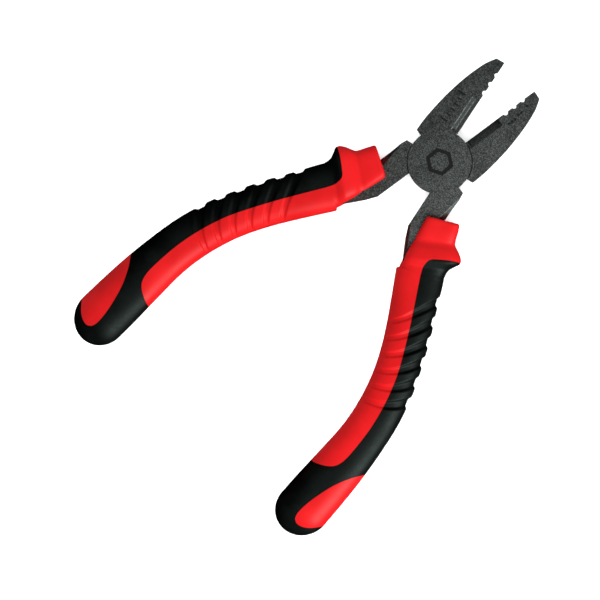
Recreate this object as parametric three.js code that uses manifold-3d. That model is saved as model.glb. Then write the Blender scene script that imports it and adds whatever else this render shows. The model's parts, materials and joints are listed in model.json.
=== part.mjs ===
// 160 mm combination pliers for crimping and cutting wire, jaws a little open.
// Two equal forged halves cross in a lap joint and turn on one flush rivet. Each half carries
// a two-colour grip: a hard red core round the tang and a soft black overmould on the core.
//
// Frame, in millimetres: the rivet's axis is Z and the joint's rear face is z = 0. With the
// jaws shut, +Y runs along the centreline to the jaw tips. The front half has its jaw at
// x < 0 and its handle at x > 0, and the rear half is the same half turned over about Y.

import * as THREE from 'three';
import { mergeVertices } from 'three/addons/utils/BufferGeometryUtils.js';
import { ParametricGeometry } from 'three/addons/geometries/ParametricGeometry.js';
import Module from 'manifold-3d';

const wasm = await Module();
wasm.setup();

// Joint
const openAngle = 9.85;            // each half from shut, degrees
const jointThickness = 9;
const lapGap = 0.15;               // each lap face from the middle plane
const discRadius = 10.1;
const pocketRadius = 10.4;
const rivetRadius = 3;
const rivetEndRadius = 2.4;        // stepped front end
const rivetStep = 7;               // height of the step
const rivetClearance = 0.1;

// Jaw
const jawLength = 37.1;
const jawFaceGap = 0.1;            // each jaw from the centreline when shut
const jawHeelAngle = 158.5;        // polar angle of the jaw's stop, degrees
const cutterStart = 10.5;
const cutterEnd = 22.7;
const cutterBevel = 2.4;           // width of the bevel on each face
const cutterEdge = 0.1;            // half of the flat left on the cutting edge
const notches = [
  { y: 32.5, radius: 0.8 },
  { y: 29.15, radius: 0.86 },
  { y: 25.8, radius: 0.92 },
];

// Neck and tang
const neckHeelAngle = -19.7;       // polar angle of the neck's stop, degrees
const neckInnerX = 2.85;
const tangThickness = 5;
const tangWidth = { top: 7, end: 5 };
const tangCentre = 0.45;           // place across the grip, from 0, inner, to 1, outer
const tangHeights = { top: -32.6, end: -96.5 };

// Grip
const gripGap = 0.2;               // between steel, core and overmould
const gripReach = 12;              // past the grip's surface, measured from the middle plane
const sleeve = { width: 0.6, depth: 0.68, top: -23, end: -104 };
const dome = { length: 8.9, drift: -0.055 };
const rib = {
  count: 6,
  first: -37.2,
  pitch: 6.32,
  depth: 0.8,
  ramp: 1.6,
  floor: 1.5,
  floorRise: 0.3,                  // how much the floor comes up towards the wall
  wall: 0.4,
  overcut: { ramp: 0.6, wall: 1.8 }, // past the grip's back, so that the cut comes out clean
};

// Each station is a chord across the grip: inner point, outer point, half depth and squareness.
const gripStations = [
  { inner: [6.05, -16.4], outer: [16.3, -12.85], half: 6.2, square: 6 },
  { inner: [6.35, -20.8], outer: [17.8, -17.4], half: 6.1, square: 6 },
  { inner: [6.6, -23.7], outer: [19.6, -19.8], half: 6, square: 5.4 },
  { inner: [7.1, -28.4], outer: [23.1, -23.4], half: 7.3, square: 4.2 },
  { inner: [7.5, -32], outer: [21.2, -27.2], half: 6.2, square: 3.4 },
  { inner: [7.6, -36], outer: [22.3, -31.8], half: 6.3, square: 3 },
  { inner: [11, -44], outer: [25.15, -39.4], half: 6.7, square: 2.9 },
  { inner: [14.45, -52], outer: [28.4, -48], half: 6.8, square: 2.8 },
  { inner: [17.35, -60], outer: [31.2, -57], half: 6.9, square: 2.8 },
  { inner: [19.35, -68], outer: [33.5, -66], half: 6.9, square: 2.8 },
  { inner: [20.4, -77], outer: [34.9, -76], half: 6.8, square: 2.8 },
  { inner: [20.25, -86], outer: [35.15, -86], half: 6.75, square: 2.8 },
  { inner: [18.7, -96.5], outer: [34.75, -97.2], half: 6.9, square: 2.7 },
  { inner: [17.05, -106.5], outer: [33.85, -107], half: 7.1, square: 2.6 },
  { inner: [15.95, -114.3], outer: [33, -114.3], half: 7.2, square: 2.5 },
];

const steel = { color: 0x404543, roughness: 0.55, metalness: 0.85 };
const redPlastic = { color: 0xe31c24, roughness: 0.42, metalness: 0 };
const blackRubber = { color: 0x1a1d1e, roughness: 0.6, metalness: 0 };

const midPlane = jointThickness / 2;
const radians = THREE.MathUtils.degToRad;

function polar(radius, degrees) {
  return [radius * Math.cos(radians(degrees)), radius * Math.sin(radians(degrees))];
}

// Solids

function toSolid(geometry) {
  geometry.deleteAttribute('normal');
  geometry.deleteAttribute('uv');
  const merged = mergeVertices(geometry, 1e-4);
  const corners = merged.index.array;
  const kept = [];
  for (let i = 0; i < corners.length; i += 3) {
    const [a, b, c] = corners.slice(i, i + 3);
    if (a !== b && b !== c && c !== a) kept.push(a, b, c);
  }
  const vertProperties = Float32Array.from(merged.attributes.position.array);
  const triVerts = Uint32Array.from(kept);
  return new wasm.Manifold(new wasm.Mesh({ numProp: 3, vertProperties, triVerts }));
}

function toMesh(name, solid, look) {
  const { vertProperties, triVerts } = solid.getMesh();
  const geometry = new THREE.BufferGeometry();
  geometry.setAttribute('position', new THREE.BufferAttribute(vertProperties, 3));
  geometry.setIndex(new THREE.BufferAttribute(triVerts, 1));
  geometry.computeVertexNormals();
  const mesh = new THREE.Mesh(geometry, new THREE.MeshStandardMaterial(look));
  mesh.name = name;
  return mesh;
}

// A flat plate of an outline, from low to high, grown on every side where asked.
function plate(shape, low, high, grow = 0) {
  const geometry = new THREE.ExtrudeGeometry(shape, {
    depth: high - low,
    curveSegments: 4,
    bevelEnabled: grow > 0,
    bevelSize: grow,
    bevelThickness: grow,
    bevelSegments: 1,
  });
  return toSolid(geometry.translate(0, 0, low));
}

// A round bar along Z.
function bar(radius, low, high, sides, x = 0, y = 0) {
  const geometry = new THREE.CylinderGeometry(radius, radius, high - low, sides);
  geometry.rotateX(Math.PI / 2);
  return toSolid(geometry.translate(x, y, (low + high) / 2));
}

// Steel

function jawShape() {
  const shape = new THREE.Shape();
  shape.moveTo(-jawFaceGap, jawLength);
  shape.lineTo(-3, jawLength - 0.2);
  shape.splineThru([
    new THREE.Vector2(-5.4, 33),
    new THREE.Vector2(-8, 26),
    new THREE.Vector2(-10, 18),
    new THREE.Vector2(-11.25, 10),
    new THREE.Vector2(-11.55, 5.5),
  ]);
  shape.lineTo(...polar(12.4, jawHeelAngle));
  shape.lineTo(...polar(discRadius - 2, jawHeelAngle));
  shape.lineTo(-jawFaceGap, 3);
  return shape;
}

function neckShape() {
  const shape = new THREE.Shape();
  shape.moveTo(...polar(discRadius - 2, neckHeelAngle));
  shape.lineTo(...polar(12.3, neckHeelAngle));
  shape.splineThru([
    new THREE.Vector2(11.85, -6.5),
    new THREE.Vector2(11.6, -11),
    new THREE.Vector2(11.7, -18),
    new THREE.Vector2(12.4, -26),
  ]);
  shape.lineTo(14.4, -34);
  shape.lineTo(9.2, -36);
  shape.lineTo(7.4, -32);
  shape.lineTo(4.4, -26);
  shape.lineTo(neckInnerX, -22);
  shape.lineTo(neckInnerX, -4);
  return shape;
}

// The tang follows the grip, at one place across it, and narrows to its end.
function tangShape() {
  const steps = 9;
  const innerEdge = [];
  const outerEdge = [];
  const top = placeAt(tangHeights.top);
  const end = placeAt(tangHeights.end);
  for (let i = 0; i <= steps; i++) {
    const t = i / steps;
    const chord = gripChord(top + (end - top) * t);
    const middle = chord.inner.clone().lerp(chord.outer, tangCentre);
    const halfWidth = (tangWidth.top + (tangWidth.end - tangWidth.top) * t) / 2;
    innerEdge.push(new THREE.Vector2(middle.x - halfWidth, middle.y));
    outerEdge.push(new THREE.Vector2(middle.x + halfWidth, middle.y));
  }
  return new THREE.Shape([...innerEdge, ...outerEdge.reverse()]);
}

// Two wedges leave a knife edge in the middle of the jaw's thickness.
function cutterBevels() {
  const wedge = new THREE.Shape([
    new THREE.Vector2(-jawFaceGap, midPlane + cutterEdge),
    new THREE.Vector2(2, midPlane + cutterEdge),
    new THREE.Vector2(2, jointThickness + 1),
    new THREE.Vector2(-cutterBevel - 0.55, jointThickness + 1),
  ]);
  const geometry = new THREE.ExtrudeGeometry(wedge, {
    depth: cutterEnd - cutterStart,
    bevelEnabled: false,
  });
  geometry.rotateX(Math.PI / 2);
  geometry.translate(0, cutterEnd, 0);
  const front = toSolid(geometry);
  return [front, front.mirror([0, 0, 1]).translate([0, 0, jointThickness])];
}

function steelHalf(name, bore) {
  let solid = plate(jawShape(), 0, jointThickness).add(plate(neckShape(), 0, jointThickness));
  solid = solid.subtract(bar(pocketRadius, -1, midPlane + lapGap, 64));
  solid = solid.add(bar(discRadius, midPlane + lapGap, jointThickness, 64));
  const tangLow = midPlane - tangThickness / 2;
  solid = solid.add(plate(tangShape(), tangLow, tangLow + tangThickness));
  for (const wedge of cutterBevels()) solid = solid.subtract(wedge);
  for (const notch of notches) {
    solid = solid.subtract(bar(notch.radius, -1, jointThickness + 1, 14, 0, notch.y));
  }
  return toMesh(name, solid.subtract(bore), steel);
}

function rivet(grow, height) {
  const shank = bar(rivetRadius + grow, -grow, rivetStep + grow, 48);
  return shank.add(bar(rivetEndRadius + grow, rivetStep - 1, height, 48));
}

// Grip

const innerSide = new THREE.SplineCurve(gripStations.map((s) => new THREE.Vector2(...s.inner)));
const outerSide = new THREE.SplineCurve(gripStations.map((s) => new THREE.Vector2(...s.outer)));
const lastStation = gripStations.length - 1;

// The chord at a place between stations, counted from the collar's mouth.
function gripChord(place) {
  const t = Math.min(place, lastStation) / lastStation;
  const low = Math.min(Math.floor(place), lastStation - 1);
  const blend = THREE.MathUtils.smoothstep(place, low, low + 1);
  const { lerp } = THREE.MathUtils;
  return {
    inner: innerSide.getPoint(t),
    outer: outerSide.getPoint(t),
    half: lerp(gripStations[low].half, gripStations[low + 1].half, blend),
    square: lerp(gripStations[low].square, gripStations[low + 1].square, blend),
  };
}

// Where the grip's middle line passes a height.
function placeAt(height) {
  let place = 0;
  let chord = gripChord(place);
  while (chord.inner.y + chord.outer.y > 2 * height) {
    place += 0.01;
    chord = gripChord(place);
  }
  return place;
}

function squareWave(value, squareness) {
  return Math.sign(value) * Math.abs(value) ** (2 / squareness);
}

// A closed loft along the grip. The width and depth are shares of the full section.
function gripLoft({ start, end, width, depth, grow, slices, rows, domeRows }) {
  const domeStart = rows + 1;
  const stacks = rows + 2 + domeRows;
  function place(u, v, target) {
    const row = Math.round(v * stacks);
    const along = THREE.MathUtils.clamp((row - 1) / rows, 0, 1);
    const chord = gripChord(start + (end - start) * along);
    const middle = chord.inner.clone().lerp(chord.outer, 0.5);
    const across = chord.outer.clone().sub(chord.inner).multiplyScalar(width / 2);
    across.setLength(across.length() + grow);
    let size = row === 0 || row === stacks ? 0 : 1;
    if (domeRows > 0 && row > domeStart) {
      const turn = ((row - domeStart) / (domeRows + 1)) * Math.PI / 2;
      size = Math.cos(turn);
      middle.x += dome.length * dome.drift * Math.sin(turn);
      middle.y -= dome.length * Math.sin(turn);
    }
    const angle = u * 2 * Math.PI;
    const sideways = squareWave(Math.cos(angle), chord.square) * size;
    const upward = squareWave(Math.sin(angle), chord.square) * size;
    middle.addScaledVector(across, sideways);
    target.set(middle.x, middle.y, midPlane + upward * (chord.half * depth + grow));
  }
  return toSolid(new ParametricGeometry(place, slices, stacks));
}

// Everything black: the outer side of the grip and its whole end, but not the red island.
function blackShape() {
  const shape = new THREE.Shape();
  shape.moveTo(26, -22.4);
  shape.splineThru([
    new THREE.Vector2(22.4, -23),
    new THREE.Vector2(16.8, -25.8),
    new THREE.Vector2(14.4, -27.6),
    new THREE.Vector2(14.1, -30.5),
    new THREE.Vector2(17.6, -40),
    new THREE.Vector2(23.7, -56),
    new THREE.Vector2(27.4, -70),
    new THREE.Vector2(28.2, -82),
    new THREE.Vector2(27.4, -92),
    new THREE.Vector2(24.6, -98.2),
    new THREE.Vector2(19.5, -100.3),
    new THREE.Vector2(12, -100.8),
  ]);
  shape.lineTo(12, -128);
  shape.lineTo(42, -128);
  shape.lineTo(42, -22.4);
  shape.holes.push(islandShape());
  return shape;
}

// The red teardrop near the end, open towards the outer side.
function islandShape() {
  const shape = new THREE.Path();
  shape.moveTo(36.5, -92);
  shape.splineThru([
    new THREE.Vector2(34.6, -95),
    new THREE.Vector2(29.1, -102),
    new THREE.Vector2(25.4, -110),
    new THREE.Vector2(23.7, -117),
    new THREE.Vector2(26, -119.3),
    new THREE.Vector2(31, -117.4),
    new THREE.Vector2(36, -112.5),
  ]);
  return shape;
}

// Saw-tooth notches along the grip's back: a ramp, a floor and a steep wall.
function ribNotches() {
  const cuts = [];
  for (let i = 0; i < rib.count; i++) {
    const y = rib.first - i * rib.pitch;
    const edge = outerEdgeAt(y);
    const corner = y + rib.wall;
    const tooth = new THREE.Shape([
      new THREE.Vector2(edge + rib.overcut.ramp, corner + rib.ramp),
      new THREE.Vector2(edge - rib.depth, corner),
      new THREE.Vector2(edge - rib.depth + rib.floorRise, corner - rib.floor),
      new THREE.Vector2(edge + rib.overcut.wall, y - rib.floor),
    ]);
    cuts.push(plate(tooth, midPlane - gripReach, midPlane + gripReach));
  }
  return cuts;
}

function outerEdgeAt(y) {
  let t = 0;
  while (outerSide.getPoint(t).y > y) t += 0.001;
  return outerSide.getPoint(t).x;
}

function gripParts(side) {
  const low = midPlane - gripReach;
  const high = midPlane + gripReach;
  let body = gripLoft({
    start: 0, end: lastStation, width: 1, depth: 1, grow: 0, slices: 16, rows: 26, domeRows: 3,
  });
  for (const cut of ribNotches()) body = body.subtract(cut);
  const inside = {
    start: placeAt(sleeve.top),
    end: placeAt(sleeve.end),
    width: sleeve.width,
    depth: sleeve.depth,
    slices: 10,
    rows: 9,
    domeRows: 0,
  };
  const tangLow = midPlane - tangThickness / 2;
  const cavity = plate(neckShape(), 0, jointThickness, gripGap)
    .add(plate(tangShape(), tangLow, tangLow + tangThickness, gripGap));
  const core = body.subtract(plate(blackShape(), low, high, gripGap))
    .add(gripLoft({ ...inside, grow: 0 }))
    .subtract(cavity);
  const overmould = body.intersect(plate(blackShape(), low, high))
    .subtract(gripLoft({ ...inside, grow: gripGap }))
    .subtract(cavity);
  return [
    toMesh(`${side}_grip_core`, core, redPlastic),
    toMesh(`${side}_grip_overmould`, overmould, blackRubber),
  ];
}

// Assembly

const pliers = new THREE.Group();

const front = new THREE.Group();
front.rotation.z = radians(openAngle);
front.add(steelHalf('front_half', rivet(rivetClearance, jointThickness + 1)));
front.add(...gripParts('right'));
front.add(toMesh('pivot_rivet', rivet(0, jointThickness), steel));
pliers.add(front);

const rear = new THREE.Group();
rear.rotation.z = -radians(openAngle);
const turnedOver = new THREE.Group();
turnedOver.rotation.y = Math.PI;
turnedOver.position.z = jointThickness;
const rearBore = bar(rivetRadius + rivetClearance, -1, jointThickness + 1, 48);
turnedOver.add(steelHalf('rear_half', rearBore));
turnedOver.add(...gripParts('left'));
rear.add(turnedOver);
pliers.add(rear);

export default pliers;
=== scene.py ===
import json
import math

import bmesh
import bpy
from mathutils import Matrix, Vector

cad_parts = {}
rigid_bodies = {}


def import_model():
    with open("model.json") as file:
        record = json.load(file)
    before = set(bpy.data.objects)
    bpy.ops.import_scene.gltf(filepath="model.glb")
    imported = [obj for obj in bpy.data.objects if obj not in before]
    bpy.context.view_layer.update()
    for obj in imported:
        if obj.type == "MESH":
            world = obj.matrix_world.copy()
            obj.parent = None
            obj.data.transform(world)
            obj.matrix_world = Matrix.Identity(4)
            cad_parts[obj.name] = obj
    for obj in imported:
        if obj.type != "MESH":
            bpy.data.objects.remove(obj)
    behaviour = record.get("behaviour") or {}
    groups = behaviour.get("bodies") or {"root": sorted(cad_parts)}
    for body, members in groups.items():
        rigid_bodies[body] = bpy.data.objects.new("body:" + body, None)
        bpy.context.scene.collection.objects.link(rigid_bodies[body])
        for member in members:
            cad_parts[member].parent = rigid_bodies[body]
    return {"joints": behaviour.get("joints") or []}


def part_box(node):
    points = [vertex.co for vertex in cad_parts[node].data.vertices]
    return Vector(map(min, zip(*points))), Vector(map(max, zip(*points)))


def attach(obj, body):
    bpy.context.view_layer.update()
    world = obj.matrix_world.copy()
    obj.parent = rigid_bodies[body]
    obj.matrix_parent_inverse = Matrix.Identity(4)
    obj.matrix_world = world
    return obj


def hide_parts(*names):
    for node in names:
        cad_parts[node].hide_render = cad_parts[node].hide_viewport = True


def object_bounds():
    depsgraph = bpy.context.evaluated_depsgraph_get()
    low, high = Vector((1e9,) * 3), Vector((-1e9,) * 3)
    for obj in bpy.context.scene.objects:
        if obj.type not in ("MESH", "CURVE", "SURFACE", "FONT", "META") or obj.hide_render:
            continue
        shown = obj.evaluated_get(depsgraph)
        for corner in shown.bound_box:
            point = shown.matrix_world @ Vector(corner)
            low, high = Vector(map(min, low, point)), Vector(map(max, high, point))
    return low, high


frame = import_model()
cadLow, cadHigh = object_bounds()

mm = 0.001
scene = bpy.context.scene

# The joint's stack and the opening come from the frame.
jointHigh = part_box("pivot_rivet")[1].z / mm
midPlane = jointHigh / 2
openAngle = math.radians(frame["joints"][0]["range_deg"][1]) / 2

# how far a cutting tool stands past the face that it cuts
past = 1


class Wire:
    # One output of a node tree. Arithmetic on it adds Math nodes to the same tree.
    def __init__(self, tree, socket=None):
        self.tree = tree
        self.socket = socket

    def make(self, kind, settings=None, sockets=None, output=0):
        node = self.tree.nodes.new(kind)
        for name, value in (settings or {}).items():
            if name == "stops":
                setStops(node, value)
            else:
                setattr(node, name, value)
        for key, value in (sockets or {}).items():
            target = node.inputs[key]
            if isinstance(value, Wire):
                self.tree.links.new(value.socket, target)
            else:
                target.default_value = value
        return Wire(self.tree, node.outputs[output] if node.outputs else None)

    def math(self, operation, *values):
        sockets = {i: value for i, value in enumerate(values)}
        return self.make("ShaderNodeMath", {"operation": operation}, sockets)

    def __add__(self, other):
        return self.math("ADD", self, other)

    def __radd__(self, other):
        return self.math("ADD", other, self)

    def __sub__(self, other):
        return self.math("SUBTRACT", self, other)

    def __rsub__(self, other):
        return self.math("SUBTRACT", other, self)

    def __mul__(self, other):
        return self.math("MULTIPLY", self, other)

    def __rmul__(self, other):
        return self.math("MULTIPLY", other, self)

    def __truediv__(self, other):
        return self.math("DIVIDE", self, other)

    def __rtruediv__(self, other):
        return self.math("DIVIDE", other, self)

    def __pow__(self, other):
        return self.math("POWER", self, other)

    def __rpow__(self, other):
        return self.math("POWER", other, self)

    def __neg__(self):
        return self.math("MULTIPLY", self, -1.0)

    def clamp(self, low=0.0, high=1.0):
        return self.math("MAXIMUM", self.math("MINIMUM", self, high), low)

    def smooth(self, low, high):
        # 0 at low, 1 at high, with an easy start and end
        t = ((self - low) / (high - low)).clamp()
        return t * t * (3.0 - 2.0 * t)


def setStops(node, stops):
    ramp = node.color_ramp
    while len(ramp.elements) < len(stops):
        ramp.elements.new(0.5)
    for element, (place, color) in zip(ramp.elements, stops):
        element.position = place
        element.color = color


def smoothPath(points, steps):
    # an even curve through every point
    path = []
    last = len(points) - 1
    for i in range(last):
        near = [Vector(points[k]) for k in (max(i - 1, 0), i, i + 1, min(i + 2, last))]
        leave = (near[2] - near[0]) / 2
        arrive = (near[3] - near[1]) / 2
        for step in range(steps):
            t = step / steps
            cubic = 2 * near[1] - 2 * near[2] + leave + arrive
            square = 3 * near[2] - 3 * near[1] - 2 * leave - arrive
            path.append(cubic * t ** 3 + square * t ** 2 + leave * t + near[1])
    path.append(Vector(points[last]))
    return path


def polar(radius, degrees):
    angle = math.radians(degrees)
    return Vector((radius * math.cos(angle), radius * math.sin(angle)))


def spaced(start, end, count):
    return [start + (end - start) * i / count for i in range(count + 1)]


def arc(radius, start, end, step=2.0):
    return [polar(radius, turn) for turn in spaced(start, end, round(abs(end - start) / step))]


def angleOf(point):
    return math.degrees(math.atan2(point[1], point[0]))


def meshObject(name, mesh):
    made = bpy.data.objects.new(name, mesh)
    scene.collection.objects.link(made)
    return made


def prism(outline, low, high, name="tool"):
    # a flat plate of an outline, closed, with its faces out
    shape = bmesh.new()
    rings = []
    for z in (low, high):
        rings.append([shape.verts.new((p[0], p[1], z)) for p in outline])
    shape.faces.new(rings[0])
    shape.faces.new(rings[1])
    count = len(outline)
    for i in range(count):
        j = (i + 1) % count
        shape.faces.new((rings[0][i], rings[0][j], rings[1][j], rings[1][i]))
    bmesh.ops.recalc_face_normals(shape, faces=shape.faces)
    mesh = bpy.data.meshes.new(name)
    shape.to_mesh(mesh)
    shape.free()
    return meshObject(name, mesh)


def bar(radius, low, high, sides=96, center=(0, 0)):
    ring = [polar(radius, 360 * i / sides) + Vector(center) for i in range(sides)]
    return prism(ring, low, high)


def lathe(profile, sides, name):
    # profile runs from the axis round to the axis again, as (radius, height)
    shape = bmesh.new()
    rings = []
    for radius, height in profile:
        if radius == 0:
            rings.append([shape.verts.new((0, 0, height))])
        else:
            ring = [polar(radius, 360 * i / sides) for i in range(sides)]
            rings.append([shape.verts.new((p.x, p.y, height)) for p in ring])
    bridgeRings(shape, rings)
    bmesh.ops.recalc_face_normals(shape, faces=shape.faces)
    mesh = bpy.data.meshes.new(name)
    shape.to_mesh(mesh)
    shape.free()
    return meshObject(name, mesh)


def bridgeRings(shape, rings):
    for first, second in zip(rings, rings[1:]):
        count = max(len(first), len(second))
        for i in range(count):
            j = (i + 1) % count
            corners = [first[i % len(first)], first[j % len(first)]]
            corners += [second[j % len(second)], second[i % len(second)]]
            unique = [v for k, v in enumerate(corners) if v not in corners[:k]]
            shape.faces.new(unique)


def settle(piece):
    # swap the piece's mesh for its evaluated one, and drop the modifiers
    graph = bpy.context.evaluated_depsgraph_get()
    result = bpy.data.meshes.new_from_object(piece.evaluated_get(graph))
    piece.modifiers.clear()
    piece.data = result
    return piece


def combine(piece, operation, *tools):
    for tool in tools:
        if piece.data.materials and not tool.data.materials:
            tool.data.materials.append(piece.data.materials[0])
        modifier = piece.modifiers.new("cut", "BOOLEAN")
        modifier.operation = operation
        modifier.solver = "MANIFOLD"
        modifier.object = tool
        settle(piece)
        bpy.data.objects.remove(tool)
    return piece


def carve(piece, *tools):
    return combine(piece, "DIFFERENCE", *tools)


def fuse(piece, *tools):
    return combine(piece, "UNION", *tools)


def softenEdges(piece, width):
    modifier = piece.modifiers.new("bevel", "BEVEL")
    modifier.width = width
    modifier.segments = 3
    modifier.limit_method = "ANGLE"
    modifier.angle_limit = math.radians(40)
    modifier.miter_outer = "MITER_ARC"
    return settle(piece)


def shadeClean(piece, angle=32):
    # smooth round faces, with flat ones left flat
    mesh = piece.data
    mesh.shade_smooth()
    mesh.set_sharp_from_angle(angle=math.radians(angle))
    modifier = piece.modifiers.new("normals", "WEIGHTED_NORMAL")
    modifier.keep_sharp = True
    return settle(piece)


def faceOut(piece):
    shape = bmesh.new()
    shape.from_mesh(piece.data)
    bmesh.ops.recalc_face_normals(shape, faces=shape.faces)
    shape.to_mesh(piece.data)
    shape.free()
    return piece


def toUnderside(piece):
    # mirror a tool, so that it cuts the other face of the joint
    piece.data.transform(Matrix.Translation((0, 0, jointHigh)) @ Matrix.Scale(-1, 4, (0, 0, 1)))


def flipOver(piece):
    # the rear half is the front one turned over about Y
    turn = Matrix.Translation((0, 0, jointHigh)) @ Matrix.Rotation(math.pi, 4, "Y")
    piece.data.transform(turn)


def toRest(piece, side):
    # from the shut drawing in millimetres to the open rest pose in metres
    angle = openAngle if side == "front" else -openAngle
    piece.data.transform(Matrix.Scale(mm, 4) @ Matrix.Rotation(angle, 4, "Z"))


def runNodes(name, tree, values, base=None):
    # run a geometry tree on a mesh and keep the plain result
    mesh = base or bpy.data.meshes.new(name)
    made = meshObject(name, mesh)
    modifier = made.modifiers.new(tree.name, "NODES")
    modifier.node_group = tree
    for item in tree.interface.items_tree:
        if item.item_type == "SOCKET" and item.in_out == "INPUT" and item.name in values:
            modifier[item.identifier] = values[item.name]
    return settle(made)


def newTree(name, values):
    # A geometry tree with an input for each value, and one for the finish.
    # Returns the tree and a Wire for each input.
    tree = bpy.data.node_groups.new(name, "GeometryNodeTree")
    tree.is_modifier = True
    tree.interface.new_socket("Geometry", in_out="INPUT", socket_type="NodeSocketGeometry")
    for label, value in values.items():
        kind = "NodeSocketInt" if isinstance(value, int) else "NodeSocketFloat"
        item = tree.interface.new_socket(label, in_out="INPUT", socket_type=kind)
        item.default_value = value
    tree.interface.new_socket("Material", in_out="INPUT", socket_type="NodeSocketMaterial")
    tree.interface.new_socket("Geometry", in_out="OUTPUT", socket_type="NodeSocketGeometry")
    entry = tree.nodes.new("NodeGroupInput")
    wires = {socket.name: Wire(tree, socket) for socket in entry.outputs if socket.name}
    return tree, wires


def endTree(tree, shape, finish):
    # real meshes, one finish, out
    plain = shape.make("GeometryNodeRealizeInstances", None, {"Geometry": shape})
    painted = plain.make("GeometryNodeSetMaterial", None, {"Geometry": plain, "Material": finish})
    leave = tree.nodes.new("NodeGroupOutput")
    tree.links.new(painted.socket, leave.inputs[0])


def newMaterial(name):
    material = bpy.data.materials.new(name)
    material.use_nodes = True
    tree = material.node_tree
    tree.nodes.clear()
    here = Wire(tree).make("ShaderNodeTexCoord", output=3)
    return material, tree, here


def closeMaterial(tree, sockets):
    shader = Wire(tree).make("ShaderNodeBsdfPrincipled", None, sockets)
    Wire(tree).make("ShaderNodeOutputMaterial", None, {"Surface": shader})


def mixColor(factor, first, second):
    sockets = {"Factor": factor, "A": first, "B": second}
    return factor.make("ShaderNodeMix", {"data_type": "RGBA"}, sockets, output=2)


def noiseAt(here, scale, detail=2.0, roughness=0.5, distortion=0.0):
    sockets = {"Vector": here, "Scale": scale, "Detail": detail, "Roughness": roughness}
    sockets["Distortion"] = distortion
    return here.make("ShaderNodeTexNoise", None, sockets)


def bumpOf(height, strength, distance):
    sockets = {"Height": height, "Strength": strength, "Distance": distance}
    return height.make("ShaderNodeBump", None, sockets)


steelFinish = {
    "dark": (0.006, 0.0078, 0.0070, 1),
    "middle": (0.0205, 0.0252, 0.0228, 1),
    "light": (0.120, 0.142, 0.129, 1),
    "grainScale": 4400,
    "metallic": 0.1,
    "roughness": 0.58,
    "specular": 0.9,
    "crown": 8.0,
    # how far the painted pool of light round the rivet reaches
    "paintedLightReach": 0.022,
}


def blastedSteel():
    material, tree, here = newMaterial("blastedSteel")
    look = steelFinish
    grain = noiseAt(here, look["grainScale"], 1.0, 0.5)
    coarse = noiseAt(here, look["grainScale"] / 3, 2.0)
    cloud = noiseAt(here, 90, 3.0)
    # painted pool of light: the steel is painted a little lighter round the rivet, where the faces
    # catch the most light
    away = here.make("ShaderNodeVectorMath", {"operation": "LENGTH"}, {0: here}, output=1)
    wearAndPaintedLight = 1.0 - away.smooth(0.004, look["paintedLightReach"])
    value = grain + (coarse - 0.5) * 0.06 + (cloud - 0.5) * 0.12 + wearAndPaintedLight * 0.03
    stops = [(0.40, look["dark"]), (0.5, look["middle"]), (0.64, look["light"])]
    color = value.make("ShaderNodeValToRGB", {"stops": stops}, {"Fac": value})
    rough = (look["roughness"] + (coarse - 0.5) * 0.3 + (cloud - 0.5) * 0.15).clamp(0.3, 0.8)
    # the tumbled faces fall away a little from the rivet outwards
    flat = here.make("ShaderNodeVectorMath", {"operation": "MULTIPLY"}, {0: here, 1: (1, 1, 0)})
    lean = here.make("ShaderNodeVectorMath", {"operation": "SCALE"}, {0: flat, 3: look["crown"]})
    crowned = here.make("ShaderNodeVectorMath", {"operation": "ADD"}, {
        0: bumpOf(value, 0.55, 0.00006), 1: lean,
    })
    normal = here.make("ShaderNodeVectorMath", {"operation": "NORMALIZE"}, {0: crowned})
    closeMaterial(tree, {
        "Base Color": color,
        "Metallic": look["metallic"],
        "Specular IOR Level": look["specular"],
        "Roughness": rough,
        "Normal": normal,
    })
    return material


def highlightPaintedSteel():
    # narrow edges painted a lighter colour: a painted highlight along the rims
    material, tree, here = newMaterial("highlightPaintedSteel")
    grain = noiseAt(here, 2400, 2.0)
    wear = noiseAt(here, 500, 3.0)
    color = mixColor(grain.smooth(0.35, 0.65), (0.06, 0.07, 0.065, 1), (0.30, 0.33, 0.31, 1))
    closeMaterial(tree, {
        "Base Color": color,
        "Metallic": 0.4,
        "Roughness": 0.35 + wear * 0.3,
        "Normal": bumpOf(grain, 0.3, 0.00003),
    })
    return material


def groundSteel():
    # smooth facets left by the grinding wheel
    material, tree, here = newMaterial("groundSteel")
    grain = noiseAt(here, 2600, 2.0)
    cloud = noiseAt(here, 240, 3.0)
    color = mixColor(grain.smooth(0.3, 0.7), (0.05, 0.058, 0.054, 1), (0.13, 0.145, 0.138, 1))
    closeMaterial(tree, {
        "Base Color": color,
        "Metallic": 0.85,
        "Roughness": 0.24 + cloud * 0.2,
        "Normal": bumpOf(grain, 0.25, 0.00003),
    })
    return material


def etchedSteel():
    # the burnt floor of the engraved marks
    material, tree, here = newMaterial("etchedSteel")
    grain = noiseAt(here, 3000, 2.0)
    color = mixColor(grain, (0.004, 0.0048, 0.0044, 1), (0.012, 0.0142, 0.013, 1))
    closeMaterial(tree, {
        "Base Color": color,
        "Metallic": 0.1,
        "Roughness": 0.6 + (grain - 0.5) * 0.3,
        "Normal": bumpOf(grain, 0.5, 0.00004),
    })
    return material


redFinish = {
    "deep": (0.72, 0.0028, 0.0045, 1),
    "bright": (0.88, 0.0060, 0.0085, 1),
    "roughness": 0.46,
    "specular": 0.22,
}


def redPlastic():
    material, tree, here = newMaterial("redPlastic")
    look = redFinish
    cloud = noiseAt(here, 70, 4.0, 0.55)
    skin = noiseAt(here, 2600, 2.0)
    scuff = noiseAt(here, 420, 5.0, 0.7, 1.2)
    color = mixColor(cloud.smooth(0.3, 0.7), look["deep"], look["bright"])
    rough = (look["roughness"] + (cloud - 0.5) * 0.2 + scuff.smooth(0.58, 0.72) * 0.12).clamp()
    closeMaterial(tree, {
        "Base Color": color,
        "Specular IOR Level": look["specular"],
        "Roughness": rough,
        "Normal": bumpOf(skin, 0.16, 0.00004),
    })
    return material


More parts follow.
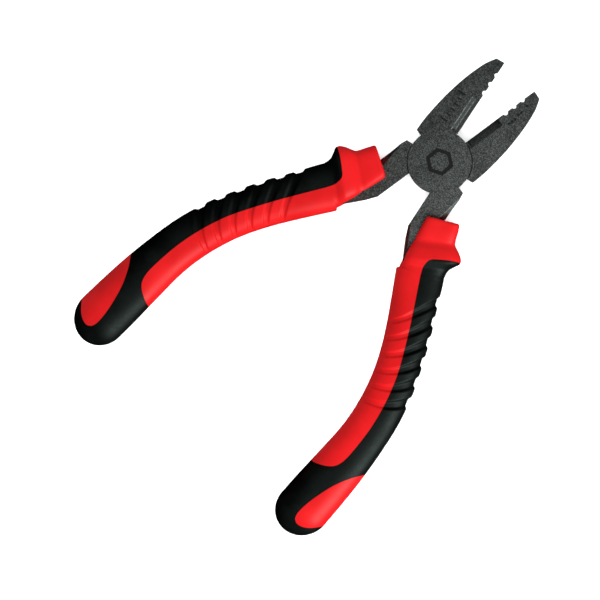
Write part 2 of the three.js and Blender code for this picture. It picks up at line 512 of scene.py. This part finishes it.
rubberFinish = {
    "deep": (0.0008, 0.0013, 0.0011, 1),
    "wearAndPaintedLight": (0.0030, 0.0046, 0.0039, 1),
    "sheen": (0.78, 1.0, 0.90, 1),
    "roughness": 0.56,
    "specular": 0.32,
}


def blackRubber():
    material, tree, here = newMaterial("blackRubber")
    look = rubberFinish
    cloud = noiseAt(here, 110, 4.0, 0.6)
    skin = noiseAt(here, 2100, 3.0, 0.6)
    color = mixColor(cloud.smooth(0.35, 0.75), look["deep"], look["wearAndPaintedLight"])
    rough = (look["roughness"] + (skin - 0.5) * 0.3 + (cloud - 0.5) * 0.25).clamp(0.25, 0.85)
    closeMaterial(tree, {
        "Base Color": color,
        "Specular IOR Level": look["specular"],
        "Specular Tint": look["sheen"],
        "Roughness": rough,
        "Normal": bumpOf(skin, 0.75, 0.00008),
    })
    return material


def paleFloor():
    material, tree, here = newMaterial("paleFloor")
    cloud = noiseAt(here, 6, 2.0)
    color = mixColor(cloud, (0.90, 0.90, 0.90, 1), (0.93, 0.93, 0.93, 1))
    closeMaterial(tree, {"Base Color": color, "Roughness": 0.9})
    return material


steelLooks = {
    "blasted": blastedSteel(),
    "etched": etchedSteel(),
    "paintedHighlight": highlightPaintedSteel(),
    "ground": groundSteel(),
}
steelLook = steelLooks["blasted"]
etchLook = steelLooks["etched"]
redLook = redPlastic()
blackLook = blackRubber()
print("finishes ready")


# The front half in full; the rear half is the same one turned over.
half = {
    "lapGap": 0.15,  # from the middle plane to each lap face
    "discRadius": 10.1,
    "pocketRadius": 10.34,  # where the other half's disc turns
    "jawTip": 37.1,
    "jawGap": 0.1,  # from the centreline when shut
    "jawHeel": 158.5,  # degrees round the rivet
    "jawHeelRadius": 12.4,
    "neckHeel": -19.7,  # degrees round the rivet
    "neckHeelRadius": 12.3,
    "neckInner": 2.85,
    "neckBend": -22,  # where the neck starts to slant out
    "edgeRound": 0.32,
}
jawBack = [(-3, 36.9), (-5.4, 33), (-8, 26), (-10, 18), (-11.25, 10), (-11.55, 5.5)]
neckBack = [(11.85, -6.5), (11.6, -11), (11.7, -18), (12.4, -26)]
neckEnd = [(14.4, -34), (10.6, -35), (8.9, -33), (7.4, -32), (4.4, -26)]

cutter = {
    "start": 10.5,
    "end": 22.7,
    "edge": 0.1,  # above the middle plane
    "knee": (1.25, 7.3),  # in from the edge, and height, where the bevel turns steeper
    "width": 2.4,
    "rim": 0.24,  # the narrow band on each step, painted lighter as a highlight
    "rimDepth": 0.13,
}
crimps = {
    "Count": 3,
    "First": 32.5,
    "Pitch": 3.35,
    "Radius": 0.8,
    "Growth": 0.06,  # added to the radius from one notch to the next
}
notchShoulder = 0.28  # as a share of the notch's radius

# Ground facets on the neck: a point and a course on the face, the way out, and the reach.
neckFacets = [
    {"point": (11.86, -5.4), "along": (-2.2, -9.2, 0), "outward": (0.72, -0.17, 0.8), "reach": 9.6},
    {"point": (3.5, -22), "along": (4.9, -10, 0), "outward": (-0.8, -0.39, 0.9), "reach": 11},
]

marks = {
    "depth": 0.1,
    "ringOuter": 3.9,
    "ringInner": 2.75,
    "ringTurn": 15,  # degrees
    "ticksAt": (-5.0, 11.9),
    "dotRadius": 0.4,
    "dotPitch": 1.15,
    "dotDepth": 0.12,
    "dotsIn": 2.5,  # from the centreline to the first row
    "dotsStep": 0.5,
}


def halfOutline():
    # once round the forging, from the jaw's tip down its working edge
    edge = -half["jawGap"]
    disc = half["discRadius"]
    jawFoot = Vector((edge, math.sqrt(disc ** 2 - edge ** 2)))
    neckFoot = Vector((half["neckInner"], -math.sqrt(disc ** 2 - half["neckInner"] ** 2)))
    outline = [Vector((edge, half["jawTip"]))]
    outline += arc(disc, angleOf(jawFoot), half["neckHeel"])
    outline.append(polar(half["neckHeelRadius"], half["neckHeel"]))
    outline += smoothPath(neckBack, 6)
    outline += [Vector(p) for p in neckEnd]
    outline.append(Vector((half["neckInner"], half["neckBend"])))
    outline += arc(disc, angleOf(neckFoot), half["jawHeel"] - 360)
    outline.append(polar(half["jawHeelRadius"], half["jawHeel"]))
    outline += reversed(smoothPath(jawBack, 8))
    return outline


def paint(piece, look):
    # one finish for the whole piece, or for the faces that it cuts
    piece.data.materials.clear()
    for finish in steelLooks.values():
        piece.data.materials.append(finish)
    index = list(steelLooks).index(look)
    piece.data.polygons.foreach_set("material_index", [index] * len(piece.data.polygons))
    return piece


def cutterWedge(above):
    # the bevel, ground in two steps, that leaves a knife edge half way through the jaw
    side = -half["jawGap"]
    edge = Vector((side, midPlane + cutter["edge"]))
    knee = Vector((side - cutter["knee"][0], cutter["knee"][1]))
    step = knee + Vector((-cutter["rim"], cutter["rimDepth"]))
    face = Vector((side - cutter["width"], jointHigh - cutter["rimDepth"]))
    lip = face + Vector((-cutter["rim"], cutter["rimDepth"])) * 1.1
    clear = jointHigh + past
    section = [(3, edge.y), edge, knee, step, face, lip, (lip.x, clear), (3, clear)]
    wedge = prism(section, cutter["start"], cutter["end"])
    # the section is drawn in X and height, and pulled along Y
    stand = Matrix(((1, 0, 0, 0), (0, 0, 1, 0), (0, 1, 0, 0), (0, 0, 0, 1)))
    wedge.data.transform(stand)
    paint(wedge, "blasted")
    if above:
        # the two narrow rims are real facets, painted lighter as a painted highlight
        rims = [(knee + step) / 2, (face + lip) / 2]
        for polygon in wedge.data.polygons:
            spot = Vector((polygon.center.x, polygon.center.z))
            if min((spot - rim).length for rim in rims) < 0.05:
                polygon.material_index = list(steelLooks).index("paintedHighlight")
    else:
        toUnderside(wedge)
    return faceOut(wedge)


def planeTool(facet, top):
    # a block whose base lies on a slanting plane, to take a bevel off an edge
    along = Vector(facet["along"]).normalized()
    outward = Vector(facet["outward"]).normalized()
    side = along.cross(outward)
    reach = facet["reach"]
    tool = prism([(-reach, -reach), (reach, -reach), (reach, reach), (-reach, reach)], 0, reach)
    turn = Matrix((along, side, outward)).transposed().to_4x4()
    tool.data.transform(Matrix.Translation((*facet["point"], jointHigh)) @ turn)
    if not top:
        toUnderside(tool)
    return faceOut(tool)


def notchKey():
    # the form of a notch of radius 1 with rounded shoulders, standing across the jaw
    reach = 1 + notchShoulder
    inset = notchShoulder + half["jawGap"]
    spread = math.degrees(math.acos(inset / reach))
    low = polar(reach, 180 + spread)
    high = polar(reach, 180 - spread)
    outline = [Vector((3, low.y)), Vector((-half["jawGap"], low.y))]
    outline += [low + polar(notchShoulder, turn) for turn in spaced(0, spread, 4)[1:]]
    outline += [polar(1, turn) for turn in spaced(180 + spread, 180 - spread, 16)[1:]]
    outline += [high + polar(notchShoulder, -turn) for turn in spaced(spread, 0, 4)[1:]]
    outline.append(Vector((3, high.y)))
    return prism(outline, -past, jointHigh + past)


def notchTree():
    tree, wires = newTree("crimpNotches", crimps)
    start = wires["First"].make("ShaderNodeCombineXYZ", None, {"Y": wires["First"]})
    step = start.make("ShaderNodeCombineXYZ", None, {"Y": -wires["Pitch"]})
    row = start.make("GeometryNodeMeshLine", {"mode": "OFFSET"}, {
        "Count": wires["Count"], "Start Location": start, "Offset": step,
    })
    order = start.make("GeometryNodeInputIndex")
    size = wires["Radius"] + order * wires["Growth"]
    scale = start.make("ShaderNodeCombineXYZ", None, {"X": size, "Y": size, "Z": 1.0})
    placed = start.make("GeometryNodeInstanceOnPoints", None, {
        "Points": row, "Instance": wires["Geometry"], "Scale": scale,
    })
    endTree(tree, placed, wires["Material"])
    return tree


gaugeTicks = {
    "Count": 6,
    "Pitch": 2.0,
    "Length": 1.5,
    "Long Every": 5,
    "Long By": 1.0,
    "Width": 0.54,
    "Depth": 0.2,
}


def tickTree():
    tree, wires = newTree("gaugeTicks", gaugeTicks)
    step = wires["Pitch"].make("ShaderNodeCombineXYZ", None, {"Y": wires["Pitch"]})
    row = step.make("GeometryNodeMeshLine", {"mode": "OFFSET"}, {
        "Count": wires["Count"], "Offset": step,
    })
    order = step.make("GeometryNodeInputIndex")
    isLong = order.math("LESS_THAN", order.math("MODULO", order, wires["Long Every"]), 0.5)
    length = wires["Length"] + isLong * wires["Long By"]
    box = step.make("GeometryNodeMeshCube", None, {"Size": (1.0, 1.0, 1.0)})
    scale = step.make("ShaderNodeCombineXYZ", None, {
        "X": length, "Y": wires["Width"], "Z": wires["Depth"],
    })
    placed = step.make("GeometryNodeInstanceOnPoints", None, {
        "Points": row, "Instance": box, "Scale": scale,
    })
    lean = step.make("ShaderNodeCombineXYZ", None, {"X": length * -0.5})
    moved = placed.make("GeometryNodeTranslateInstances", None, {
        "Instances": placed, "Translation": lean, "Local Space": False,
    })
    endTree(tree, moved, wires["Material"])
    return tree


def forgedHalf(name, boreTools):
    body = prism(halfOutline(), 0, jointHigh, name)
    paint(body, "blasted")
    carve(body, bar(half["pocketRadius"], -past, midPlane + half["lapGap"], 120))
    for top in (True, False):
        # the neck's outer corner and the inner corner of its slanting end are ground off
        for facet in neckFacets:
            carve(body, paint(planeTool(facet, top), "ground"))
    softenEdges(body, half["edgeRound"])
    fuse(body, tang())
    carve(body, cutterWedge(True), cutterWedge(False))
    key = notchKey()
    values = dict(crimps, Material=steelLook)
    notches = runNodes("notches", notchTree(), values, key.data)
    bpy.data.objects.remove(key)
    carve(body, paint(notches, "blasted"))
    carve(body, *boreTools)
    return body


tangBar = {
    "from": -32,
    "to": -96.5,
    "thickness": 5.0,
    "width": 7.0,
    "taper": 2.0,
    "across": 0.45,  # its place in the grip, from 0 at the inner side to 1 at the outer
}


def tang():
    # the flat bar inside the grip
    steps = 16
    first = placeAt(tangBar["from"])
    last = placeAt(tangBar["to"])
    inner = []
    outer = []
    for i in range(steps + 1):
        t = i / steps
        chord = gripChord(first + (last - first) * t)
        middle = chord["inner"].lerp(chord["outer"], tangBar["across"])
        reach = (tangBar["width"] - tangBar["taper"] * t) / 2
        inner.append(middle - Vector((reach, 0)))
        outer.append(middle + Vector((reach, 0)))
    low = midPlane - tangBar["thickness"] / 2
    return prism(inner + outer[::-1], low, low + tangBar["thickness"])


# Each station is a chord across the grip: inner point, outer point, half depth, squareness.
gripStations = [
    ((6.05, -16.4), (16.3, -12.85), 6.2, 5.5),
    ((6.25, -19.8), (17.4, -16.0), 6.15, 5.5),
    ((6.4, -22.9), (18.05, -18.05), 5.85, 5.2),
    ((6.55, -25.3), (18.8, -19.25), 5.65, 4.8),
    ((6.75, -27.4), (20.9, -20.5), 6.6, 4.6),
    ((6.95, -29.4), (22.65, -21.9), 7.15, 4.3),
    ((7.15, -31.1), (23.15, -23.4), 7.3, 4.0),
    ((7.35, -32.4), (22.15, -25.1), 6.8, 3.8),
    ((7.5, -33.5), (21.3, -26.9), 6.2, 3.6),
    ((7.65, -34.4), (21.3, -29.0), 6.12, 3.4),
    ((7.15, -34.95), (21.85, -30.5), 6.15, 3.3),
    ((7.5, -36.2), (22.4, -31.9), 6.25, 3.1),
    ((11.0, -44.0), (25.15, -39.4), 6.7, 2.9),
    ((14.45, -52.0), (28.4, -48.0), 6.8, 2.8),
    ((17.35, -60.0), (31.2, -57.0), 6.9, 2.8),
    ((19.35, -68.0), (33.5, -66.0), 6.9, 2.8),
    ((20.4, -77.0), (34.9, -76.0), 6.8, 2.8),
    ((20.25, -86.0), (35.15, -86.0), 6.75, 2.8),
    ((18.7, -96.5), (34.75, -97.2), 6.9, 2.7),
    ((17.05, -106.5), (33.85, -107.0), 7.1, 2.6),
    ((15.95, -114.3), (33.0, -114.3), 7.2, 2.5),
]
grip = {
    "ribbed": (11, 16),  # the stations between which the grooves lie
    "mouthRound": 0.7,
    "domeLength": 8.9,
    "domeDrift": -0.055,  # how far the end leans, as a share of its length
    "sides": 144,
    "seam": 0.06,  # between red and black
    "islandInset": 0.06,
    "sleeveFrom": -25,
    "sleeveTo": -104,
    "sleeveWidth": 0.6,  # as a share of the grip
    "sleeveDepth": 0.68,
    "sleeveGap": 0.08,
    "steelGap": 0.05,
    "roomTop": -8,  # the hollow starts above the mouth
    "cutReach": 14,  # from the middle plane, for the tools that part red and black
}
lastStation = len(gripStations) - 1
innerSide = [Vector(s[0]) for s in gripStations]
outerSide = [Vector(s[1]) for s in gripStations]


def between(values, place):
    # an even curve through numbers or points, one for each station
    i = min(int(place), lastStation - 1)
    t = place - i
    near = [values[k] for k in (max(i - 1, 0), i, i + 1, min(i + 2, lastStation))]
    leave = (near[2] - near[0]) * 0.5
    arrive = (near[3] - near[1]) * 0.5
    cubic = near[1] * 2 - near[2] * 2 + leave + arrive
    square = near[2] * 3 - near[1] * 3 - leave * 2 - arrive
    return cubic * t ** 3 + square * t ** 2 + leave * t + near[1]


def gripChord(place):
    place = min(max(place, 0), lastStation)
    return {
        "inner": between(innerSide, place),
        "outer": between(outerSide, place),
        "half": between([s[2] for s in gripStations], place),
        "square": between([s[3] for s in gripStations], place),
    }


def middleOf(chord):
    return chord["inner"].lerp(chord["outer"], 0.5)


def placeAt(height):
    # where along the stations the grip's middle line passes a height
    place = 0
    while middleOf(gripChord(place)).y > height:
        place += 0.02
    return place


def gripPlaces():
    # places along the stations, closest together on the ribbed stretch
    places = []
    for i in range(lastStation):
        if i < grip["ribbed"][0]:
            fine = 9
        elif i < grip["ribbed"][1]:
            fine = 40
        else:
            fine = 18
        places += [i + step / fine for step in range(fine)]
    places.append(lastStation)
    return places


def gripRings():
    # every ring of the skin as (middle, half chord, half depth, squareness), mouth to end
    rings = []
    first = gripChord(0)
    mouth = middleOf(first)
    away = (mouth - middleOf(gripChord(0.2))).normalized()
    radius = grip["mouthRound"]
    for step in range(6):
        turn = math.radians(90 * step / 6)
        inset = radius * (1 - math.sin(turn))
        rise = radius * (1 - math.cos(turn))
        reach = (first["outer"] - first["inner"]) / 2
        reach = reach * (1 - inset / reach.length)
        rings.append((mouth - away * rise, reach, first["half"] - inset, first["square"]))
    for place in gripPlaces():
        chord = gripChord(place)
        middle = middleOf(chord)
        if (middle - mouth).length < radius:
            continue
        reach = (chord["outer"] - chord["inner"]) / 2
        rings.append((middle, reach, chord["half"], chord["square"]))
    middle, reach, depth, square = rings[-1]
    course = Vector((grip["domeDrift"], -1)) * grip["domeLength"]
    domeSteps = 18
    for step in range(1, domeSteps + 1):
        turn = math.radians(90 * step / domeSteps)
        size = 0 if step == domeSteps else math.cos(turn)
        rings.append((middle + course * math.sin(turn), reach * size, depth * size, square))
    return rings


def sleeveRings(start, end):
    # the plain core under the black, as rings like the skin's
    rings = []
    steps = 24
    for step in range(steps + 1):
        chord = gripChord(start + (end - start) * step / steps)
        rings.append((middleOf(chord), (chord["outer"] - chord["inner"]) / 2, chord["half"], 3.0))
    return rings


def gripSkin(name, rings, sides, width=1.0, depth=1.0, grow=0.0):
    # A closed loft over the rings. Its points keep how far along and across the grip they lie.
    shape = bmesh.new()
    alongLayer = shape.verts.layers.float.new("along")
    acrossLayer = shape.verts.layers.float.new("across")
    lengths = [0]
    for (a, *_), (b, *_) in zip(rings, rings[1:]):
        lengths.append(lengths[-1] + (b - a).length)
    loops = []
    for i, (middle, reach, halfDepth, square) in enumerate(rings):
        before = rings[max(i - 4, 0)][0]
        after = rings[min(i + 4, len(rings) - 1)][0]
        course = (after - before).normalized()
        if reach.length < 1e-6:
            tip = shape.verts.new((middle.x, middle.y, midPlane))
            tip[alongLayer] = lengths[i]
            loops.append([tip])
            continue
        reach = reach * (width + grow / reach.length)
        rise = halfDepth * depth + grow
        loop = []
        for k in range(sides):
            angle = 2 * math.pi * k / sides
            c = math.cos(angle)
            s = math.sin(angle)
            size = (abs(c) ** square + abs(s) ** square) ** (-1 / square)
            flat = middle + reach * (c * size)
            vert = shape.verts.new((flat.x, flat.y, midPlane + rise * s * size))
            vert[alongLayer] = lengths[i] + (flat - middle).dot(course)
            vert[acrossLayer] = c * size
            loop.append(vert)
        loops.append(loop)
    if len(loops[0]) > 1:
        shape.faces.new(loops[0][::-1])
    if len(loops[-1]) > 1:
        shape.faces.new(loops[-1])
    bridgeRings(shape, loops)
    bmesh.ops.recalc_face_normals(shape, faces=shape.faces)
    mesh = bpy.data.meshes.new(name)
    shape.to_mesh(mesh)
    shape.free()
    return mesh


ribs = {
    "Count": 6,
    "First": 28.6,  # from the mouth, along the grip
    "Pitch": 6.26,
    "Slant": 8.2,  # how much further along a groove lies at the inner side
    "Slant Step": 0.8,  # taken off the slant from one groove to the next
    "Curl": 1.35,  # how late the slant sets in
    "Curl Step": 0.2,
    "Width": 2.75,
    "Inner Width": 1.7,
    "Depth": 0.78,
    "Inner Depth": 0.44,
}


def ribTree():
    # Grooves that slant across the grip, cut deep at its outer side and fading to the inner one.
    # Each has a ramp towards the mouth, a flat floor and a steep wall towards the end.
    tree, wires = newTree("gripRibs", ribs)
    read = wires["First"]
    numbers = {"data_type": "FLOAT"}
    along = read.make("GeometryNodeInputNamedAttribute", numbers, {"Name": "along"})
    across = read.make("GeometryNodeInputNamedAttribute", numbers, {"Name": "across"})
    share = ((across + 1.0) * 0.5).clamp(0.001, 1.0)
    reach = along - wires["First"]
    bend = 1.0 - share ** (wires["Curl"] + wires["Curl Step"] * (wires["Count"] * 0.5))
    guess = (reach - wires["Slant"] * bend) / (wires["Pitch"] - wires["Slant Step"] * bend)
    order = read.math("CEIL", guess - 0.1).clamp(0.0, wires["Count"] - 1.0)
    bend = 1.0 - share ** (wires["Curl"] + wires["Curl Step"] * order)
    corner = wires["Pitch"] * order + (wires["Slant"] - wires["Slant Step"] * order) * bend
    distance = reach - corner
    side = across.smooth(-0.9, 1.0)
    width = wires["Inner Width"] + (wires["Width"] - wires["Inner Width"]) * side
    wall = 0.4 + side * 0.6
    rise = 0.3 + side * 1.05
    ramp = ((distance + width + rise) / rise).smooth(0.0, 1.0)
    step = ((distance + wall) / wall).smooth(0.0, 1.0)
    inner = wires["Inner Depth"]
    level = inner + (wires["Depth"] - inner) * across.smooth(-0.5, 0.45)
    depth = ramp * (1.0 - step) * level * across.smooth(-1.0, -0.8)
    normal = read.make("GeometryNodeInputNormal")
    shift = normal.make("ShaderNodeVectorMath", {"operation": "SCALE"}, {0: normal, 3: -depth})
    moved = read.make("GeometryNodeSetPosition", None, {
        "Geometry": wires["Geometry"], "Offset": shift,
    })
    endTree(tree, moved, wires["Material"])
    return tree


def offsetLoop(points, distance):
    # an outline moved sideways; a positive distance moves it to the left of its course
    moved = []
    count = len(points)
    for i, point in enumerate(points):
        before = points[i - 1]
        after = points[(i + 1) % count]
        course = (after - before).normalized()
        moved.append(point + Vector((-course.y, course.x)) * distance)
    return moved


def blackOutline():
    # the outer side of the grip and its whole end
    edge = smoothPath([
        (26, -22.6), (22.6, -23.15), (20, -24.1), (16.8, -25.8), (14.7, -27.2), (14.05, -29),
        (14.4, -32), (17.6, -40), (20.8, -48), (23.7, -56), (26.2, -64), (27.75, -73),
        (28.2, -82), (27.4, -92), (26.2, -96.4), (24.2, -98.6), (20.6, -100.05), (17, -100.5),
        (12, -100.6),
    ], 8)
    return edge + [Vector((12, -128)), Vector((44, -128)), Vector((44, -22.6))]


def islandOutline():
    # the red drop near the end of the grip, open towards its outer side
    edge = smoothPath([
        (38, -91), (34.8, -94.7), (31.6, -98.2), (28.4, -103), (25.7, -109), (24.1, -114),
        (23.75, -117.3), (24.8, -119.1), (26.8, -119.4), (29.4, -118.4), (32.3, -116.1),
        (36, -112.6),
    ], 8)
    return edge + [Vector((44, -108)), Vector((44, -91))]


def neckRoom():
    # the hollow round the neck, open at the grip's mouth
    gap = grip["steelGap"]
    outline = [Vector((2, grip["roomTop"])), Vector((11.9, grip["roomTop"]))]
    outline += [point for point in smoothPath(neckBack, 6) if point.y < -12.5]
    outline += [Vector(point) for point in neckEnd]
    outline.append(Vector((half["neckInner"], half["neckBend"])))
    return faceOut(prism(offsetLoop(outline, gap), -gap, jointHigh + gap))


def sleeve(grow=0.0):
    # the part of the core that lies hidden under the black
    rings = sleeveRings(placeAt(grip["sleeveFrom"]), placeAt(grip["sleeveTo"]))
    shares = {"width": grip["sleeveWidth"], "depth": grip["sleeveDepth"]}
    return meshObject("sleeve", gripSkin("sleeve", rings, 48, grow=grow, **shares))


def gripPieces(hand, ribNodes):
    # core and overmould are cut from the same ribbed skin
    low = midPlane - grip["cutReach"]
    high = midPlane + grip["cutReach"]
    bodies = []
    for label, finish in (("core", redLook), ("overmould", blackLook)):
        skin = gripSkin("skin", gripRings(), grip["sides"])
        values = dict(ribs, Material=finish)
        bodies.append(runNodes(f"{hand}-grip-{label}", ribNodes, values, skin))
    core, overmould = bodies
    black = blackOutline()
    island = islandOutline()
    drop = meshObject("drop", core.data.copy())
    combine(drop, "INTERSECT", prism(offsetLoop(island, grip["islandInset"]), low, high))
    carve(core, prism(offsetLoop(black, -grip["seam"]), low, high))
    fuse(core, drop, sleeve())
    carve(core, neckRoom(), tangRoom())
    combine(overmould, "INTERSECT", prism(black, low, high))
    carve(overmould, prism(island, low, high), sleeve(grip["sleeveGap"]))
    return core, overmould


def tangRoom():
    # the tang's own hollow, a little higher than the tang
    room = tang()
    grow = Matrix.Translation((0, 0, midPlane)) @ Matrix.Scale(1.02, 4, (0, 0, 1))
    room.data.transform(grow @ Matrix.Translation((0, 0, -midPlane)))
    return room


def ring(outer, inner, turn):
    # a hexagon ring, measured across its flats
    corner = math.cos(math.pi / 6)
    outside = [polar(outer / corner, turn + 60 * i) for i in range(6)]
    inside = [polar(inner / corner, turn + 60 * i) for i in range(6)]
    low = jointHigh - marks["depth"]
    made = prism(outside, low, jointHigh + past)
    return carve(made, prism(inside, low - past, jointHigh + 2 * past))


def punchDots(count, place):
    # a short row of round punch marks beside a notch: one, two or three
    dots = []
    for i in range(count):
        shift = marks["dotPitch"] * (i - (count - 1) / 2)
        center = (place[0], place[1] + shift)
        low = jointHigh - marks["dotDepth"]
        dots.append(bar(marks["dotRadius"], low, jointHigh + past, 20, center))
    return dots


def engrave(piece, *tools):
    # cut faces take the dark etched finish
    return carve(piece, *[paint(tool, "etched") for tool in tools])


def finishPiece(piece, side, body, node, angle=32):
    toRest(piece, side)
    shadeClean(piece, angle)
    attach(piece, body)
    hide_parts(node)


rivet = {
    "radius": 3.0,
    "endRadius": 2.4,  # at the front face
    "step": 7.0,  # its height above the rear face
    "chamfer": 0.1,
    "endChamfer": 0.06,
    "gap": 0.02,
    "sides": 64,
}


def rivetBores(stepped):
    # the hole through a half; the front one has the rivet's step in it
    wide = rivet["radius"] + rivet["gap"]
    if not stepped:
        return [bar(wide, -past, jointHigh + past, rivet["sides"])]
    narrow = rivet["endRadius"] + rivet["gap"]
    return [
        bar(wide, midPlane - 3, rivet["step"] + rivet["gap"], rivet["sides"]),
        bar(narrow, rivet["step"] - past, jointHigh + past, rivet["sides"]),
    ]


def turnedRivet():
    radius = rivet["radius"]
    end = rivet["endRadius"]
    profile = [
        (0, 0),
        (radius - rivet["chamfer"], 0),
        (radius, rivet["chamfer"]),
        (radius, rivet["step"]),
        (end, rivet["step"]),
        (end, jointHigh - rivet["endChamfer"]),
        (end - rivet["endChamfer"], jointHigh),
        (0, jointHigh),
    ]
    turned = lathe(profile, rivet["sides"], "pivot-rivet")
    turned.data.materials.append(steelLook)
    return turned


frontHalf = forgedHalf("front-half-steel", rivetBores(True))
hexRing = ring(marks["ringOuter"], marks["ringInner"], marks["ringTurn"])
ticks = runNodes("ticks", tickTree(), dict(gaugeTicks, Material=etchLook))
ticks.data.transform(Matrix.Translation((*marks["ticksAt"], jointHigh)))
engrave(frontHalf, hexRing, ticks)
finishPiece(frontHalf, "front", "front_lever", "front_half")
print("front half forged")

rearHalf = forgedHalf("rear-half-steel", rivetBores(False))
flipOver(rearHalf)
for i in range(crimps["Count"]):
    beside = marks["dotsIn"] + marks["dotsStep"] * i
    engrave(rearHalf, *punchDots(i + 1, (beside, crimps["First"] - crimps["Pitch"] * i)))
finishPiece(rearHalf, "rear", "rear_lever", "rear_half")
print("rear half forged")

finishPiece(turnedRivet(), "front", "front_lever", "pivot_rivet")
print("rivet turned")

ribNodes = ribTree()
for side, hand, body in (("front", "right", "front_lever"), ("rear", "left", "rear_lever")):
    core, overmould = gripPieces(hand, ribNodes)
    if side == "rear":
        flipOver(core)
        flipOver(overmould)
    finishPiece(core, side, body, f"{hand}_grip_core", 40)
    finishPiece(overmould, side, body, f"{hand}_grip_overmould", 40)
    print(hand, "grip moulded")


studio = {
    "floorReach": 3.0,
    "lookAt": (0, -0.05, 0),
    "key": {"place": (0.42, -0.09, 0.27), "size": (0.22, 0.36), "power": 2.3},
    "ground": {"place": (0.0, -0.05, 1.1), "size": (1.6, 1.6), "power": 55},
    "surround": 0.6,
}


def studioFloor():
    shape = bmesh.new()
    bmesh.ops.create_grid(shape, x_segments=1, y_segments=1, size=studio["floorReach"])
    mesh = bpy.data.meshes.new("floor")
    shape.to_mesh(mesh)
    shape.free()
    floor = meshObject("floor", mesh)
    floor.location.z = cadLow.z
    mesh.materials.append(paleFloor())
    return floor


def areaLight(name, reached):
    # a soft lamp that lights one collection only
    settings = studio[name]
    data = bpy.data.lights.new(name, "AREA")
    data.shape = "RECTANGLE"
    data.size, data.size_y = settings["size"]
    data.energy = settings["power"]
    lamp = bpy.data.objects.new(name, data)
    scene.collection.objects.link(lamp)
    lamp.location = settings["place"]
    aim = Vector(studio["lookAt"]) - Vector(settings["place"])
    lamp.rotation_euler = aim.to_track_quat("-Z", "Y").to_euler()
    lamp.light_linking.receiver_collection = reached


floor = studioFloor()
floor.visible_diffuse = False
floor.visible_glossy = False
tool = bpy.data.collections.new("tool")
ground = bpy.data.collections.new("ground")
ground.objects.link(floor)
for piece in scene.objects:
    if piece.type == "MESH" and piece is not floor:
        tool.objects.link(piece)
areaLight("key", tool)
areaLight("ground", ground)

world = bpy.data.worlds.new("studio")
world.use_nodes = True
background = world.node_tree.nodes["Background"]
background.inputs["Color"].default_value = (1, 1, 1, 1)
background.inputs["Strength"].default_value = studio["surround"]
world.cycles_visibility.glossy = False
scene.world = world
scene.view_settings.view_transform = "Standard"

# The camera looks straight down; the width is what it sees across, in millimetres.
view = {"center": (-2.0, -61.6), "turn": 43.4, "width": 188.3, "lens": 600, "sensor": 36}


def studioCamera():
    data = bpy.data.cameras.new("camera")
    data.lens = view["lens"]
    data.sensor_width = view["sensor"]
    data.clip_start = 0.01
    camera = bpy.data.objects.new("camera", data)
    scene.collection.objects.link(camera)
    distance = view["width"] * view["lens"] / view["sensor"]
    camera.location = Vector((*view["center"], distance + jointHigh * 0.75)) * mm
    camera.rotation_euler = (0, 0, math.radians(view["turn"]))
    scene.camera = camera


studioCamera()
print("studio set")
